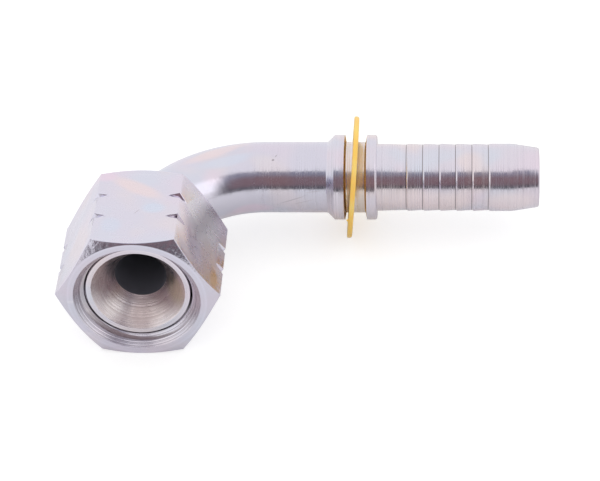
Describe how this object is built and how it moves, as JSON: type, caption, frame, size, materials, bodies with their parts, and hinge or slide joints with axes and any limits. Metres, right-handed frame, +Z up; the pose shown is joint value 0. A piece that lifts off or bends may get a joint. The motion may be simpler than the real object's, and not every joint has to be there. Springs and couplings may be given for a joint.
{
  "type": "crimp hose fitting",
  "caption": "Swept 90 degree hose insert with a barbed crimp tail, a loose hexagonal swivel nut over a coned sealing seat and a thin plastic disc in its collar groove.",
  "frame": {"origin": "middle of the footprint, on the surface that the fitting lies on", "axes": "+X along the hose tail to its tip, -Y out of the swivel nut's mouth, +Z up from the nut's lower flat"},
  "size_m": [0.0914, 0.0512, 0.027],
  "materials": {
    "zinc_plated_steel": "bright zinc plating over fine turning marks, with faint pink, blue and gold tints",
    "yellow_plastic": "smooth, slightly translucent"
  },
  "bodies": {
    "stem": {"stem": "zinc_plated_steel"},
    "nut": {"swivel_nut": "zinc_plated_steel"},
    "disc": {"plastic_disc": "yellow_plastic"}
  },
  "joints": [
    {"name": "nut_swivel", "type": "hinge", "parent": "stem", "child": "nut", "pos_m": [-0.03011, -0.01448, 0.0135], "axis": [0, -1, 0], "continuous": true},
    {"name": "disc_spin", "type": "hinge", "parent": "stem", "child": "disc", "pos_m": [0.00907, 0.01358, 0.01205], "axis": [0.9969, 0, -0.0785], "continuous": true}
  ]
}
